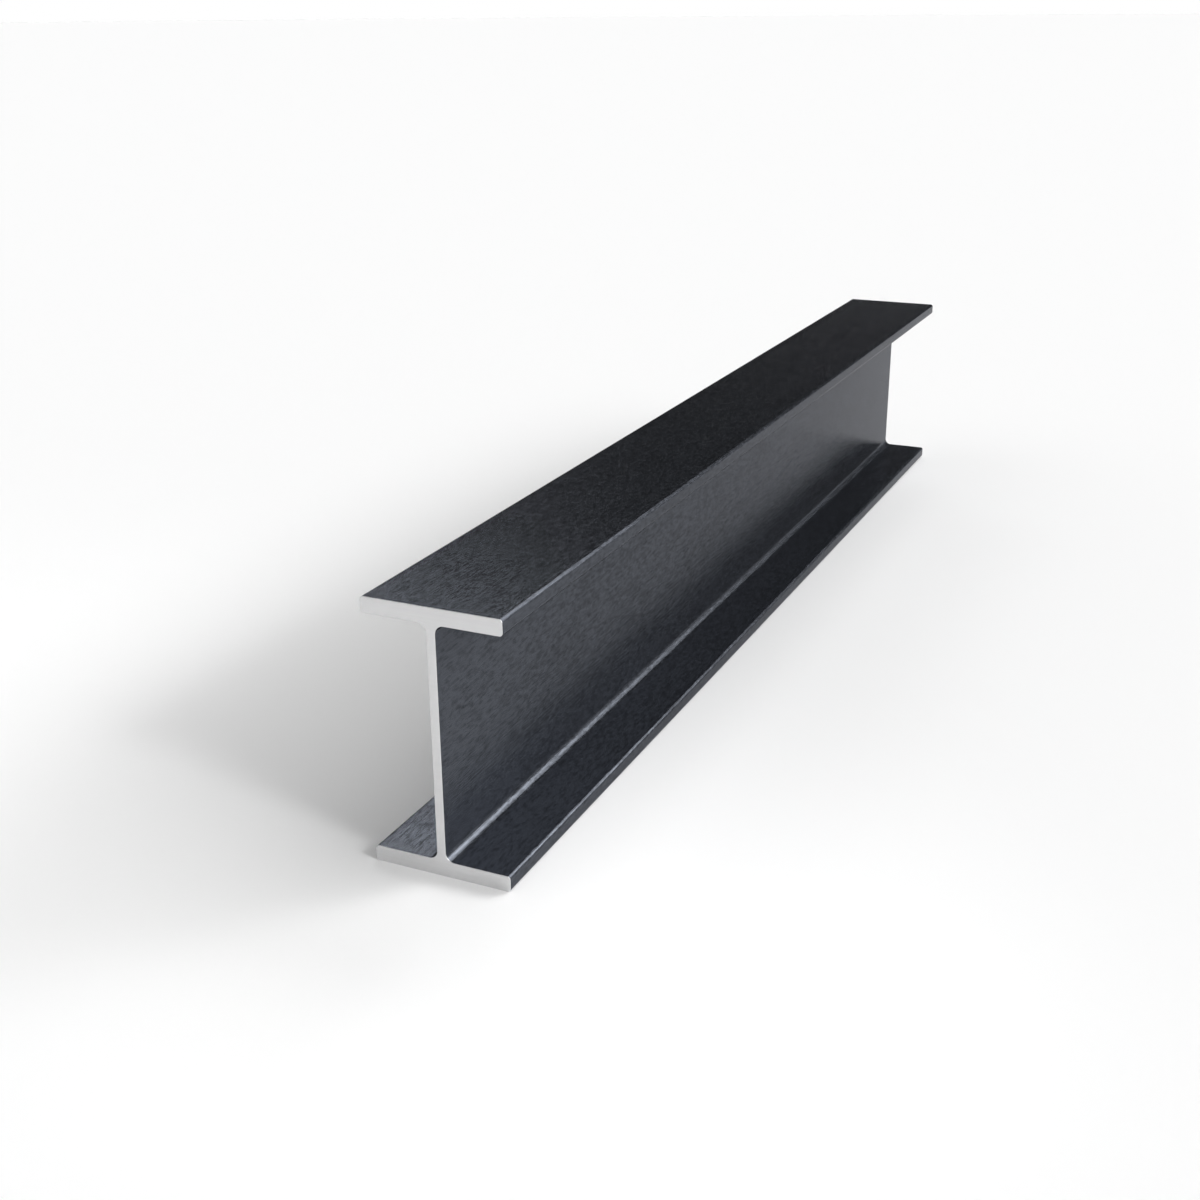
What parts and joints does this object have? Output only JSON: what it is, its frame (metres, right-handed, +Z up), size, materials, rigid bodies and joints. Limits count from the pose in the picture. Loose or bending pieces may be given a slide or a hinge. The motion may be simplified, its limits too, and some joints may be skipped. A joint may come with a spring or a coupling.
{
  "type": "steel i-beam",
  "caption": "Length of hot-rolled steel I-beam with parallel flanges, filleted roots, rounded flange tips and square sawn ends, for framing, lintels and supports.",
  "frame": {"origin": "middle of the underside of the lower flange, at mid-length", "axes": "+X along the beam, +Y across the flanges, +Z up through the web to the upper flange"},
  "size_m": [0.875, 0.08, 0.15],
  "materials": {
    "rolled_steel": "dark blue-grey mill scale from hot rolling, with bare sawn ends"
  },
  "bodies": {
    "root": {"i_beam": "rolled_steel"}
  },
  "joints": []
}
